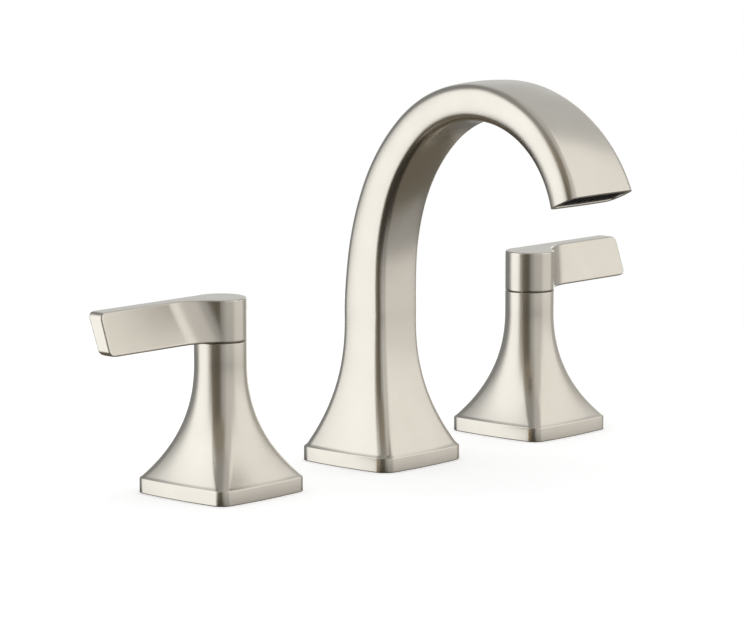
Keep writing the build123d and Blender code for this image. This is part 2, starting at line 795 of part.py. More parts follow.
# Foot of the spout: gasket, insert, its screws and the shank
build_foot_gasket("spout_foot_gasket", 0, spout_foot_half, spout_foot_corner, spout_foot_bow)
insert_half = spout_well_half - foot_clearance
insert_bore = shank_radius + thread_clearance
with BuildPart() as base_insert:
    insert_outline = (insert_half, insert_half, spout_foot_corner - spout_wall, spout_foot_bow)
    extrude(section_face(level_plane(0, insert_bottom), *insert_outline), amount=insert_thickness)
    with BuildSketch(Plane.XY.offset(insert_top)):
        Circle(insert_boss_radius)
    extrude(amount=insert_boss_height)
    with BuildSketch(Plane.XY.offset(insert_bottom)):
        Circle(insert_bore)
    extrude(amount=insert_thickness + insert_boss_height, mode=Mode.SUBTRACT)
    with BuildSketch(Plane.XY.offset(insert_bottom)):
        with Locations(*screw_spots):
            Circle(screw_radius + thread_clearance)
    extrude(amount=insert_thickness, mode=Mode.SUBTRACT)
    with BuildSketch(Plane.XY.offset(insert_bottom)):
        with Locations(*screw_spots):
            Circle(screw_head_radius + thread_clearance)
    extrude(amount=screw_head_height, mode=Mode.SUBTRACT)
keep(base_insert, "base_insert")

with BuildPart() as base_screws:
    with BuildSketch(Plane.XY.offset(insert_bottom)):
        with Locations(*screw_spots):
            Circle(screw_head_radius)
    extrude(amount=screw_head_height)
    with BuildSketch(Plane.XY.offset(insert_bottom + screw_head_height)):
        with Locations(*screw_spots):
            Circle(screw_radius)
    extrude(amount=screw_length)
    with BuildSketch(Plane.XY.offset(insert_bottom)):
        with Locations(*screw_spots):
            RegularPolygon(screw_radius, 6)
    extrude(amount=screw_head_height / 2, mode=Mode.SUBTRACT)
keep(base_screws, "base_screws")

shank_top = insert_top + insert_boss_height
keep(ring_solid([(0, 0)], shank_radius, spout_shank_bore, -shank_depth, shank_top), "spout_shank")

# Tee that joins the hot and cold supplies under the shank
tee_flange_bottom = -shank_depth - tee_flange_thickness
tee_bottom = tee_flange_bottom - tee_height
tee_port_level = tee_flange_bottom - tee_height / 2
tee_spigot_radius = spout_shank_bore - loose_clearance
tee_ring_radius = tee_spigot_radius - cartridge_ring_section
tee_ring_levels = (-shank_depth + tee_spigot_length / 3, -shank_depth + tee_spigot_length * 2 / 3)
with BuildPart() as inlet_tee:
    tee_groove = tee_spigot_radius - 2 * cartridge_ring_section - fit_clearance
    with BuildSketch(Plane.XY.offset(tee_bottom)):
        Circle(tee_body_radius)
    extrude(amount=tee_height)
    with BuildSketch(Plane.XY.offset(tee_flange_bottom)):
        Circle(valve_top_radius)
    extrude(amount=tee_flange_thickness)
    with BuildSketch(Plane.XY.offset(-shank_depth)):
        Circle(tee_spigot_radius)
    extrude(amount=tee_spigot_length)
    for outward in (-1, 1):
        port_plane = Plane((0, 0, tee_port_level), x_dir=(0, 1, 0), z_dir=(outward, 0, 0))
        with BuildSketch(port_plane):
            Circle(port_neck_radius)
        extrude(amount=tee_reach)
        with BuildSketch(port_plane.offset(tee_reach - port_thread_length)):
            Circle(port_thread_radius)
        extrude(amount=port_thread_length)
    for tee_ring_level in tee_ring_levels:
        groove_half = cartridge_ring_section + fit_clearance
        with BuildSketch(Plane.XY.offset(tee_ring_level - groove_half)):
            Circle(tee_spigot_radius + fit_clearance)
            Circle(tee_groove, mode=Mode.SUBTRACT)
        extrude(amount=2 * groove_half, mode=Mode.SUBTRACT)
    with BuildSketch(Plane.XY.offset(tube_bottom)):
        with Locations((0, riser_back)):
            Circle(tube_radius + fit_clearance)
    extrude(amount=tee_spigot_length - shank_depth - tube_bottom, mode=Mode.SUBTRACT)
    with BuildSketch(Plane.XY.offset(tee_port_level)):
        with Locations((0, riser_back)):
            Circle(tube_bore_radius)
    extrude(amount=tube_bottom - tee_port_level, mode=Mode.SUBTRACT)
    with BuildSketch(Plane((0, 0, tee_port_level), x_dir=(0, 1, 0), z_dir=(1, 0, 0))):
        Circle(outlet_bore_radius)
    extrude(amount=tee_reach, both=True, mode=Mode.SUBTRACT)
keep(inlet_tee, "inlet_tee")

with BuildPart() as tee_o_rings:
    for tee_ring_level in tee_ring_levels:
        with BuildSketch(turning_plane(0)):
            with Locations((tee_ring_radius, tee_ring_level)):
                Circle(cartridge_ring_section)
        revolve(axis=turning_axis(0))
keep(tee_o_rings, "tee_o_rings")

with BuildPart() as tee_coupling_nut:
    lip_bottom = tee_flange_bottom - coupling_lip
    nut_top = nut_bottom - coupling_nut_gap
    with BuildSketch(Plane.XY.offset(lip_bottom)):
        RegularPolygon(coupling_nut_radius, 6)
        Circle(tee_body_radius + loose_clearance, mode=Mode.SUBTRACT)
    extrude(amount=nut_top - lip_bottom)
    with BuildSketch(Plane.XY.offset(tee_flange_bottom)):
        Circle(shank_hole)
    extrude(amount=nut_top - tee_flange_bottom, mode=Mode.SUBTRACT)
keep(tee_coupling_nut, "tee_coupling_nut")

# Outlet in the mouth: housing, flow restrictor, screen and straightener
housing_inset = spout_wall + foot_clearance
hollow_inset = housing_inset + housing_wall
outlet_inset = hollow_inset + fit_clearance
hollow_start = housing_start + housing_back
housing_end = spout_length - mouth_recess
straightener_start = housing_end - straightener_depth
with BuildPart() as outlet_housing:
    loft(spout_stretch(housing_start, housing_end, housing_inset))
    loft(spout_stretch(hollow_start, housing_end, hollow_inset), mode=Mode.SUBTRACT)
    with BuildSketch(spout_plane(housing_start)):
        Circle(tube_radius + loose_clearance)
    extrude(amount=housing_back * 2 / 3, mode=Mode.SUBTRACT)
    with BuildSketch(spout_plane(housing_start)):
        Circle(tube_bore_radius)
    extrude(amount=housing_back + overrun, mode=Mode.SUBTRACT)
keep(outlet_housing, "outlet_housing")

with BuildPart() as flow_restrictor:
    with BuildSketch(spout_plane(hollow_start + fit_clearance)):
        Circle(restrictor_radius)
        Circle(restrictor_hole_radius, mode=Mode.SUBTRACT)
    extrude(amount=restrictor_thickness)
keep(flow_restrictor, "flow_restrictor")

screen_end = straightener_start - fit_clearance
screen_start = screen_end - screen_thickness
slot_pitch = 2 * (mouth_half_width - outlet_inset) / straightener_slots
slot_width = slot_pitch - straightener_bar
with BuildPart() as outlet_screen:
    loft([spout_section(screen_start, outlet_inset), spout_section(screen_end, outlet_inset)])
    with BuildSketch(spout_plane(screen_start)):
        with GridLocations(slot_pitch / 2, slot_pitch / 2, 2 * straightener_slots - 2, 2):
            Circle(slot_pitch / 6)
    extrude(amount=2 * screen_thickness, mode=Mode.SUBTRACT)
keep(outlet_screen, "outlet_screen")

slot_height = 2 * (mouth_half_depth - outlet_inset - straightener_bar)
with BuildPart() as flow_straightener:
    loft(spout_stretch(straightener_start, housing_end, outlet_inset))
    with BuildSketch(spout_plane(housing_end)):
        with GridLocations(slot_pitch, slot_height, straightener_slots - 1, 1):
            RectangleRounded(slot_width, slot_height, slot_width / 4)
    extrude(amount=2 * straightener_depth, both=True, mode=Mode.SUBTRACT)
keep(flow_straightener, "flow_straightener")
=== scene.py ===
import json
import math
import bpy
import numpy as np
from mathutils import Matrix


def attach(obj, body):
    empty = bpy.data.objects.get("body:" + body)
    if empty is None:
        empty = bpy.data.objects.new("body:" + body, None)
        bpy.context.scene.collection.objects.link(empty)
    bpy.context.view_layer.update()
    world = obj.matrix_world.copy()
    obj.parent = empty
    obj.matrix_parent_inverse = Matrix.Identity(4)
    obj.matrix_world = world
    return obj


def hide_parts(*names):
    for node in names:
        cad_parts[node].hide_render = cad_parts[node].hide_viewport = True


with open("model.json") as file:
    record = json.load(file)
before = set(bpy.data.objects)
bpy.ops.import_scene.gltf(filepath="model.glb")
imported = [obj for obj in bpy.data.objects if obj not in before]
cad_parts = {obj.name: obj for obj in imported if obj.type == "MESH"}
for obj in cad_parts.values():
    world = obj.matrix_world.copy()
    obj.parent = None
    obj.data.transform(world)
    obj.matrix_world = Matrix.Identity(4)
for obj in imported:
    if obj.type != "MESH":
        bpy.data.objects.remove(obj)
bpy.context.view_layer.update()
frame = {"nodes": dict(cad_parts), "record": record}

# Widespread faucet in brushed nickel, in the CAD model's frame.
# X runs from the hot handle to the cold handle, Y runs back, Z runs up from the deck.
# The named sizes of the pieces are in millimetres and degrees; the meshes and the studio are in metres.
mm = 0.001

# Counts of points and levels in the meshes
edge_steps = 6
side_steps = 14
corner_steps = 16
bar_steps = 96
flare_levels = 90
wall_levels = 14
cavity_levels = 18
riser_levels = 80
bend_levels = 190
spout_wall_levels = 110
lever_low_levels = 12
lever_middle_levels = 24
lever_high_levels = 10
flare_crowding = 1.15
riser_crowding = 1.1
lever_low_crowding = 1.6
lever_high_crowding = 1.4

# Plan and escutcheons
valve_x = 101.6
foot_half = 26.9
foot_corner = 5.4
foot_bow = 0.9
band_height = 6.3
shoulder_height = 7.3
shoulder = 1.0
flare_top = 55.0
flare_power = 2.12
neck_radius = 11.2
neck_height = 64.8
neck_start = 55.8
neck_inner_start = 55.5
wall = 2.0
foot_chamfer = 0.3
edge_round = 0.35
gasket_inset = 1.6
gasket_thickness = 1.5
web_bottom = 30.1
web_top = 33.1
web_bore = 6.55

# Spout
spout_foot_half = 27.1
spout_foot_corner = 6.6
riser_height = 66.5
riser_back = 0.7
bends = ((230.0, 5.4), (114.0, 15.6), (81.5, 24.5), (55.4, 116.65))
mouth_tilt = -6.5
riser_half_width = 13.65
riser_half_depth = 12.6
riser_corner = 4.6
riser_bow = 0.6
riser_flare_power = 2.4
mouth_half_width = 21.8
mouth_half_depth = 8.0
mouth_corner = 5.0
mouth_bow = 0.4
mouth_width_power = 2.1
mouth_depth_power = 2.5
mouth_ease = 0.05
tilt_start = 0.9
rim_round = 0.4
rim_depth = 0.45
rim_inner_depth = 0.6
rim_approach = 0.5
bend_length = sum(math.radians(degrees) * radius for radius, degrees in bends)
spout_length = riser_height + bend_length

# Lever
hub_bottom = 65.2
hub_top = 83.2
lever_reach = 67.0
front_top = 3.4
front_bottom = -2.8
back_top = 10.9
back_bottom = 4.2
end_round = 3.0
web_round = 24.0
heel_round = 1.6
corner_round = 0.8
top_round = 0.7
bottom_round = 1.2
hub_bottom_round = 0.35
spigot_radius = 8.0
spigot_bottom = 60.0
spigot_overlap = 3.0
socket_radius = 7.0
socket_top = 77.0
screw_hole_radius = 2.1
screw_hole_start = 3.0
screw_level = 72.2
cut_overrun = 1.0
sharp_angle = 35.0


def arc_points(start, middle, end, count):
    """Points of circular arcs whose middle is known: along the chord the sine of an even angle, and square
    to it the sagitta times the difference of cosines. start, middle and end are (rows, 2) arrays."""
    least_angle = 1e-4
    share = np.linspace(-1.0, 1.0, count)[None, :, None]
    half_chord = (end - start) / 2
    rise = middle - (start + end) / 2
    ratio = np.linalg.norm(rise, axis=1) / np.linalg.norm(half_chord, axis=1)
    angle = np.maximum(2 * np.arctan(ratio), least_angle)[:, None, None]
    along = np.sin(share * angle) / np.sin(angle)
    across = (np.cos(share * angle) - np.cos(angle)) / (1 - np.cos(angle))
    centre = ((start + end) / 2)[:, None, :]
    return centre + half_chord[:, None, :] * along + rise[:, None, :] * across


def bowed_square(half_x, half_y, corner, bow, roundness):
    """Closed outlines of a bowed rounded rectangle, one row per level, as a (rows, points, 2) array.

    Each side is an arc through its middle that touches the corner circles; five points of the quarter are
    moved towards an ellipse by the roundness, and arcs join them again. A side with almost no bow is
    straight. There are side_steps points on each half side and corner_steps points on each corner."""
    least_bow = 1e-6
    flat_bow = 1e-5
    key_shares = np.array([0.0, 0.3, 0.5, 0.7, 1.0])
    half_x, half_y, corner, bow, roundness = np.broadcast_arrays(
        *[np.atleast_1d(np.asarray(v, dtype=float)) for v in (half_x, half_y, corner, bow, roundness)])
    centre_x = half_x - bow - corner
    centre_y = half_y - bow - corner
    safe = np.maximum(bow, least_bow)
    reach = corner + safe
    radius_x = (reach ** 2 + centre_y ** 2 - corner ** 2) / (2 * safe)
    radius_y = (reach ** 2 + centre_x ** 2 - corner ** 2) / (2 * safe)
    lean_x = np.where(bow > flat_bow, np.arcsin(np.clip(centre_y / (radius_x - corner), 0, 1)), 0.0)
    lean_y = np.where(bow > flat_bow, np.arcsin(np.clip(centre_x / (radius_y - corner), 0, 1)), 0.0)
    between = (lean_x + math.pi / 2 - lean_y) / 2
    nothing = np.zeros_like(half_x)
    keys = np.stack([
        np.stack([half_x, nothing], 1),
        np.stack([centre_x + corner * np.cos(lean_x), centre_y + corner * np.sin(lean_x)], 1),
        np.stack([centre_x + corner * np.cos(between), centre_y + corner * np.sin(between)], 1),
        np.stack([centre_x + corner * np.sin(lean_y), centre_y + corner * np.cos(lean_y)], 1),
        np.stack([nothing, half_y], 1)], 1)
    angles = key_shares * math.pi / 2
    circle = np.stack([half_x[:, None] * np.cos(angles), half_y[:, None] * np.sin(angles)], 2)
    keys = keys + (circle - keys) * roundness[:, None, None]
    over_x = np.array([1.0, -1.0])
    over_y = np.array([-1.0, 1.0])
    full_side = 2 * side_steps + 1
    side = arc_points(keys[:, 1] * over_x, keys[:, 0], keys[:, 1], full_side)[:, side_steps:]
    bend = arc_points(keys[:, 1], keys[:, 2], keys[:, 3], corner_steps + 1)[:, 1:]
    crown = arc_points(keys[:, 3], keys[:, 4], keys[:, 3] * over_y, full_side)[:, 1:side_steps + 1]
    quarter = np.concatenate([side, bend, crown], 1)
    return np.concatenate([
        quarter[:, :-1],
        (quarter * over_y)[:, :0:-1],
        -quarter[:, :-1],
        (quarter * over_x)[:, :0:-1]], 1)


def softened(points, radius, steps=edge_steps):
    """A polyline whose inner corners are replaced by curved corners: each point of a corner is the
    quadratic blend of the cut points before and after it, cut at most at 45 percent of each run."""
    most_cut = 0.45
    points = np.asarray(points, dtype=float)
    radius = np.broadcast_to(radius, (len(points),))
    rows = [points[:1]]
    for before, here, after, size in zip(points[:-2], points[1:-1], points[2:], radius[1:-1]):
        first = here - before
        second = after - here
        cut = min(size, most_cut * np.linalg.norm(first), most_cut * np.linalg.norm(second))
        start = here - first / np.linalg.norm(first) * cut
        end = here + second / np.linalg.norm(second) * cut
        t = np.linspace(0, 1, steps)[:, None]
        rows.append((1 - t) ** 2 * start + 2 * t * (1 - t) * here + t ** 2 * end)
    rows.append(points[-1:])
    return np.concatenate(rows)


def crowded(start, end, count, power):
    """Levels from start to end, without the start: an even share raised to a power, so that they crowd
    near the start."""
    return start + (end - start) * np.linspace(0, 1, count)[1:] ** power


def skin(name, rings, loop=False, flip=False):
    """A mesh piece from a (rings, points, 3) array in millimetres: each ring is closed round, and with
    loop the last ring joins the first one. Without loop the two end rings are filled with a flat face."""
    count, around = rings.shape[:2]
    vertices = rings.reshape(-1, 3) * mm
    row = np.arange(count if loop else count - 1)[:, None]
    step = np.arange(around)[None, :]
    here = row * around + step
    beside = row * around + (step + 1) % around
    above = ((row + 1) % count) * around + step
    far = ((row + 1) % count) * around + (step + 1) % around
    faces = np.stack([here, beside, far, above], 2).reshape(-1, 4)
    if flip:
        faces = faces[:, ::-1]
    listed = faces.tolist()
    if not loop:
        low = np.arange(around)[::-1]
        high = (count - 1) * around + np.arange(around)
        listed += [(low[::-1] if flip else low).tolist(), (high[::-1] if flip else high).tolist()]
    mesh = bpy.data.meshes.new(name)
    mesh.from_pydata(vertices.tolist(), [], listed)
    smooth = np.ones(len(mesh.polygons), dtype=bool)
    if not loop:
        smooth[-2:] = False
    mesh.polygons.foreach_set("use_smooth", smooth)
    mesh.update()
    piece = bpy.data.objects.new(name, mesh)
    bpy.context.scene.collection.objects.link(piece)
    return piece


def level_rings(outline, height, centre_x=0.0):
    """Level rings in space from (rows, points, 2) outlines and one height per row."""
    height = np.broadcast_to(np.asarray(height, dtype=float)[:, None], outline.shape[:2])
    return np.stack([outline[..., 0] + centre_x, outline[..., 1], height], 2)


def round_outline(radius):
    """Circles as fully rounded squares, so that their points run on from the square outlines."""
    return bowed_square(radius, radius, 1.0, 0.0, 1.0)


def foot_band(half, corner, centre_x=0.0):
    """Rings of a foot's outside from the deck up: a small chamfer, the upright band and the shoulder."""
    profile = softened([
        (half - foot_chamfer, 0), (half, foot_chamfer), (half, band_height),
        (half - shoulder, shoulder_height)], edge_round)
    outline = bowed_square(profile[:, 0], profile[:, 0], corner, foot_bow, 0.0)
    return level_rings(outline, profile[:, 1], centre_x)


def gasket_seat(half, corner, centre_x=0.0):
    """Rings of the recess under a foot, from its roof down to the deck."""
    seat_half = half - gasket_inset
    seat = bowed_square([seat_half, seat_half], seat_half, corner, foot_bow, 0.0)
    return level_rings(seat, [gasket_thickness, 0.0], centre_x)


def escutcheon_rings(height, inset):
    """Outlines of the escutcheon: the half width grows from the neck to the foot as a power of the height
    share, and the roundness falls from one to zero as its square."""
    share = np.clip((flare_top - height) / (flare_top - shoulder_height), 0, 1)
    foot = foot_half - shoulder
    half = neck_radius + (foot - neck_radius) * share ** flare_power - inset
    scale = half / foot
    return bowed_square(half, half, foot_corner * scale, foot_bow * scale, 1 - share ** 2)


def build_escutcheon(name, centre_x):
    """Hollow cover: band, soft shoulder, flare and neck outside, then the walls and the web inside. The
    flare's levels lie a little closer together near the foot, where it curves most."""
    band = foot_band(foot_half, foot_corner, centre_x)
    flare_height = crowded(shoulder_height, flare_top, flare_levels, flare_crowding)
    flare = level_rings(escutcheon_rings(flare_height, 0.0), flare_height, centre_x)
    neck = softened([
        (neck_radius, neck_start), (neck_radius, neck_height),
        (neck_radius - wall, neck_height), (neck_radius - wall, neck_inner_start)], edge_round)
    neck = level_rings(round_outline(neck[:, 0]), neck[:, 1], centre_x)
    upper_height = np.linspace(flare_top, web_top, wall_levels)
    upper = level_rings(escutcheon_rings(upper_height, wall), upper_height, centre_x)
    bore = level_rings(round_outline([web_bore, web_bore]), [web_top, web_bottom], centre_x)
    cavity_height = np.linspace(web_bottom, shoulder_height, cavity_levels)
    cavity = level_rings(escutcheon_rings(cavity_height, wall), cavity_height, centre_x)
    well = level_rings(escutcheon_rings(np.full(1, shoulder_height), wall), [gasket_thickness], centre_x)
    seat = gasket_seat(foot_half, foot_corner, centre_x)
    return skin(name, np.concatenate([band, flare, neck, upper, bore, cavity, well, seat]), loop=True)


def spout_line(distance):
    """Forward place, height and lean of the spout's centreline: upright, then four tangent arcs."""
    forward = np.full_like(distance, -riser_back)
    height = np.minimum(distance, riser_height)
    angle = np.zeros_like(distance)
    rest = np.maximum(distance - riser_height, 0.0)
    for radius, degrees in bends:
        turn = np.minimum(math.radians(degrees), rest / radius)
        forward += radius * (np.cos(angle) - np.cos(angle + turn))
        height += radius * (np.sin(angle + turn) - np.sin(angle))
        angle += turn
        rest -= radius * turn
    return forward, height, angle


def spout_rings(distance, inset):
    """Rings square to the spout's centreline. Below the bends the half size grows towards the foot as a
    power; above, the width grows and the depth shrinks as powers of the share of the bends' length, and
    the rings lean more and more towards the mouth's tilt past the tilt's start."""
    distance, inset = np.broadcast_arrays(np.asarray(distance, dtype=float), np.asarray(inset, dtype=float))
    forward, height, angle = spout_line(distance)
    low = np.clip((riser_height - distance) / (riser_height - shoulder_height), 0, 1)
    bend = np.clip((distance - riser_height) / bend_length, 0, 1)
    growth = low ** riser_flare_power
    foot = spout_foot_half - shoulder
    eased = bend ** 2 * (1 + mouth_ease) / (bend + mouth_ease)
    taper = np.maximum(1 - eased, 0) ** mouth_depth_power
    above = distance > riser_height
    widening = bend ** mouth_width_power
    half_width = np.where(
        above, riser_half_width + (mouth_half_width - riser_half_width) * widening,
        riser_half_width + (foot - riser_half_width) * growth)
    half_depth = np.where(
        above, mouth_half_depth + (riser_half_depth - mouth_half_depth) * taper,
        riser_half_depth + (foot - riser_half_depth) * growth)
    corner = np.where(
        above, riser_corner + (mouth_corner - riser_corner) * bend,
        riser_corner + (spout_foot_corner - riser_corner) * low)
    corner = np.maximum(corner - inset, corner / 3)
    bow = np.where(
        above, riser_bow + (mouth_bow - riser_bow) * bend,
        riser_bow + (foot_bow - riser_bow) * growth)
    outline = bowed_square(half_width - inset, half_depth - inset, corner, bow, 0.0)
    tilt = np.maximum((bend - tilt_start) / (1 - tilt_start), 0) ** 2
    angle = angle + math.radians(mouth_tilt) * tilt
    forward = forward + riser_back * growth
    cos, sin = np.cos(angle)[:, None], np.sin(angle)[:, None]
    x = outline[..., 0]
    y = -forward[:, None] + cos * outline[..., 1]
    z = height[:, None] + sin * outline[..., 1]
    return np.stack([x, y, z], 2)


def build_spout(name):
    """Hollow spout: band, soft shoulder, flare, riser and bends outside, a soft rim at the mouth, then the
    inner wall back to the foot's recess."""
    band = foot_band(spout_foot_half, spout_foot_corner)
    riser = crowded(shoulder_height, riser_height, riser_levels, riser_crowding)
    bend = np.linspace(riser_height, spout_length - rim_approach, bend_levels)[1:]
    outer = spout_rings(np.concatenate([riser, bend]), 0.0)
    rim = softened([
        (spout_length - rim_depth, 0.0), (spout_length, 0.0),
        (spout_length, wall), (spout_length - rim_inner_depth, wall)], rim_round, edge_steps + 1)
    rim = spout_rings(rim[:, 0], rim[:, 1])
    inner = spout_rings(np.linspace(spout_length - wall, shoulder_height, spout_wall_levels), wall)
    well = spout_rings(np.full(1, shoulder_height), wall)
    well[..., 2] = gasket_thickness
    seat = gasket_seat(spout_foot_half, spout_foot_corner)
    return skin(name, np.concatenate([band, outer, rim, inner, well, seat]), loop=True)


def line_run(start, end, count):
    """Even points along straight runs, one row per level; start and end are (rows, 2)."""
    share = np.linspace(0, 1, count)[None, :, None]
    return start[:, None, :] * (1 - share) + end[:, None, :] * share


def round_run(centre, radius, start, end, count):
    """Points of circles between two angles, one row per level."""
    share = np.linspace(0, 1, count)[None, :]
    angle = start[:, None] * (1 - share) + end[:, None] * share
    return centre[:, None, :] + radius[:, None, None] * np.stack([np.cos(angle), np.sin(angle)], 2)


def pair(x, y):
    """Points in the plan, one row per level."""
    return np.stack([x, y], 1)


def lever_outline(height, inset, hub_inset):
    """Outline of the lever at each level, drawn in by an inset on the blade and one on the hub: the hub's
    circle, the web's fillet, the blade's front face, its end with two small corners, its back face and a
    small fillet at the heel. Near the top and the bottom the end follows a quarter circle."""
    share = (height - hub_bottom) / (hub_top - hub_bottom)
    front = front_bottom + (front_top - front_bottom) * share + inset
    back = back_bottom + (back_top - back_bottom) * share - inset
    hub = neck_radius - hub_inset
    low = np.clip(end_round - (height - hub_bottom), 0, end_round)
    high = np.clip(end_round - (hub_top - height), 0, end_round)
    end = lever_reach - end_round - inset + np.sqrt(end_round ** 2 - np.maximum(low, high) ** 2)
    web = web_round + inset
    web_x = np.sqrt((hub + web) ** 2 - (front - web) ** 2)
    web_angle = np.arctan2(front - web, web_x)
    heel = np.full_like(height, heel_round) + inset
    heel_x = np.sqrt((hub + heel) ** 2 - (back + heel) ** 2)
    heel_angle = np.arctan2(back + heel, heel_x)
    quarter = math.pi / 2
    nothing = np.zeros_like(height)
    corner = np.full_like(height, corner_round)
    hub_count, web_count, face_count, corner_count, end_count, heel_count = 121, 29, 41, 8, 9, 13
    parts = [
        round_run(pair(nothing, nothing), hub, heel_angle, 4 * quarter + web_angle, hub_count),
        round_run(
            pair(web_x, front - web), web, 2 * quarter + web_angle, nothing + quarter, web_count)[:, 1:],
        line_run(pair(web_x, front), pair(end - corner, front), face_count)[:, 1:],
        round_run(
            pair(end - corner, front + corner), corner, nothing - quarter, nothing, corner_count)[:, 1:],
        line_run(pair(end, front + corner), pair(end, back - corner), end_count)[:, 1:],
        round_run(
            pair(end - corner, back - corner), corner, nothing, nothing + quarter, corner_count)[:, 1:],
        line_run(pair(end - corner, back), pair(heel_x, back), face_count)[:, 1:],
        round_run(
            pair(heel_x, back + heel), heel, nothing - quarter, heel_angle - 2 * quarter,
            heel_count)[:, 1:-1],
    ]
    return np.concatenate(parts, 1)


def round_bar(radius, start, end, centre, along_y=False):
    """Rings of a straight round bar, used only to cut or to join: circles at its two ends."""
    angle = np.linspace(0, 2 * math.pi, bar_steps + 1)[:-1]
    reach = np.array([start, end])[:, None] + 0 * angle
    a = centre[0] + radius * np.cos(angle)[None, :] + 0 * reach
    b = centre[1] + radius * np.sin(angle)[None, :] + 0 * reach
    return np.stack([a, reach, b], 2) if along_y else np.stack([a, b, reach], 2)


def joined(piece, tool, operation):
    """Applies one boolean operation to a piece and removes the tool."""
    change = piece.modifiers.new("joint", "BOOLEAN")
    change.operation = operation
    change.solver = "EXACT"
    change.object = tool
    result = bpy.data.meshes.new_from_object(piece.evaluated_get(bpy.context.evaluated_depsgraph_get()))
    piece.modifiers.clear()
    old = piece.data
    piece.data = result
    result.name = piece.name
    bpy.data.meshes.remove(old)
    cutter = tool.data
    bpy.data.objects.remove(tool)
    bpy.data.meshes.remove(cutter)


def build_lever(name, centre_x, outward):
    """Lever: level outlines stacked from the hub's bottom to its top, with a spigot and a socket below and
    the set screw's hole behind. The soft edges are quarter circles, cosine up and sine in; the hub's bottom
    edge is softened less than the blade's, as the square of the blade's inset."""
    turn = np.linspace(0, 1, edge_steps + 1) * math.pi / 2
    bottom_height = hub_bottom + bottom_round * (1 - np.cos(turn))
    bottom_inset = bottom_round * (1 - np.sin(turn))
    top_height = hub_top - top_round * (1 - np.sin(turn))
    top_inset = top_round * (1 - np.cos(turn))
    low = crowded(hub_bottom + bottom_round, hub_bottom + end_round, lever_low_levels, lever_low_crowding)
    middle = np.linspace(low[-1], hub_top - end_round, lever_middle_levels)[1:]
    high = crowded(hub_top - top_round, hub_top - end_round, lever_high_levels, lever_high_crowding)[-2::-1]
    height = np.concatenate([bottom_height, low, middle, high, top_height])
    inset = np.concatenate([bottom_inset, np.zeros(len(low) + len(middle) + len(high)), top_inset])
    hub_soft = hub_bottom_round * (inset / bottom_round) ** 2
    hub_inset = np.where(height > hub_bottom + bottom_round, inset, hub_soft)
    outline = lever_outline(height, inset, hub_inset)
    outline[..., 0] *= outward
    piece = skin(name, level_rings(outline, height, centre_x), flip=outward < 0)
    spigot = round_bar(spigot_radius, spigot_bottom, hub_bottom + spigot_overlap, (centre_x, 0))
    joined(piece, skin(name + "_spigot", spigot), "UNION")
    socket = round_bar(socket_radius, spigot_bottom - cut_overrun, socket_top, (centre_x, 0))
    joined(piece, skin(name + "_socket", socket), "DIFFERENCE")
    hole = round_bar(
        screw_hole_radius, screw_hole_start, neck_radius + cut_overrun, (centre_x, screw_level), along_y=True)
    joined(piece, skin(name + "_hole", hole, flip=True), "DIFFERENCE")
    piece.data.polygons.foreach_set("use_smooth", np.ones(len(piece.data.polygons), dtype=bool))
    piece.data.set_sharp_from_angle(angle=math.radians(sharp_angle))
    return piece


# Materials
texture_low = 0.3
texture_high = 0.7
metal_cloud_scale = 60.0
metal_bump_depth = 0.00005
moulded_bump_depth = 0.0001
moulded_cloud_share = 1 / 8


def material(name):
    """An empty node material: returns it, its nodes, its links and its surface shader."""
    made = bpy.data.materials.new(name)
    made.use_nodes = True
    nodes = made.node_tree.nodes
    return made, nodes, made.node_tree.links, nodes["Principled BSDF"]


def noise(nodes, links, scale, stretch=(1, 1, 1), detail=3.0):
    """Noise on object coordinates, stretched along the axes."""
    place = nodes.new("ShaderNodeTexCoord")
    turn = nodes.new("ShaderNodeMapping")
    turn.inputs["Scale"].default_value = stretch
    grain = nodes.new("ShaderNodeTexNoise")
    grain.inputs["Scale"].default_value = scale
    grain.inputs["Detail"].default_value = detail
    links.new(place.outputs["Object"], turn.inputs["Vector"])
    links.new(turn.outputs["Vector"], grain.inputs["Vector"])
    return grain


def ranged(nodes, links, source, low, high):
    """Maps a texture's middle range to two values."""
    span = nodes.new("ShaderNodeMapRange")
    span.inputs["From Min"].default_value = texture_low
    span.inputs["From Max"].default_value = texture_high
    span.inputs["To Min"].default_value = low
    span.inputs["To Max"].default_value = high
    links.new(source, span.inputs["Value"])
    return span.outputs["Result"]


def tinted(nodes, links, source, dark, light):
    """Maps a texture to a colour between two colours."""
    ramp = nodes.new("ShaderNodeValToRGB")
    ramp.color_ramp.elements[0].position = texture_low
    ramp.color_ramp.elements[1].position = texture_high
    ramp.color_ramp.elements[0].color = (*dark, 1)
    ramp.color_ramp.elements[1].color = (*light, 1)
    links.new(source, ramp.inputs["Fac"])
    return ramp.outputs["Color"]


def bumped(nodes, links, shader, source, strength, distance):
    """Adds a fine bump from a texture."""
    bump = nodes.new("ShaderNodeBump")
    bump.inputs["Strength"].default_value = strength
    bump.inputs["Distance"].default_value = distance
    links.new(source, bump.inputs["Height"])
    links.new(bump.outputs["Normal"], shader.inputs["Normal"])


def worked_metal(name, dark, light, rough_low, rough_high, scale, stretch, bump):
    """A metal finish: a cloudy colour, and drawn-out grain in its roughness and bump."""
    made, nodes, links, shader = material(name)
    shader.inputs["Metallic"].default_value = 1.0
    grain = noise(nodes, links, scale, stretch)
    cloud = noise(nodes, links, metal_cloud_scale)
    links.new(tinted(nodes, links, cloud.outputs["Fac"], dark, light), shader.inputs["Base Color"])
    links.new(ranged(nodes, links, grain.outputs["Fac"], rough_low, rough_high), shader.inputs["Roughness"])
    bumped(nodes, links, shader, grain.outputs["Fac"], bump, metal_bump_depth)
    return made


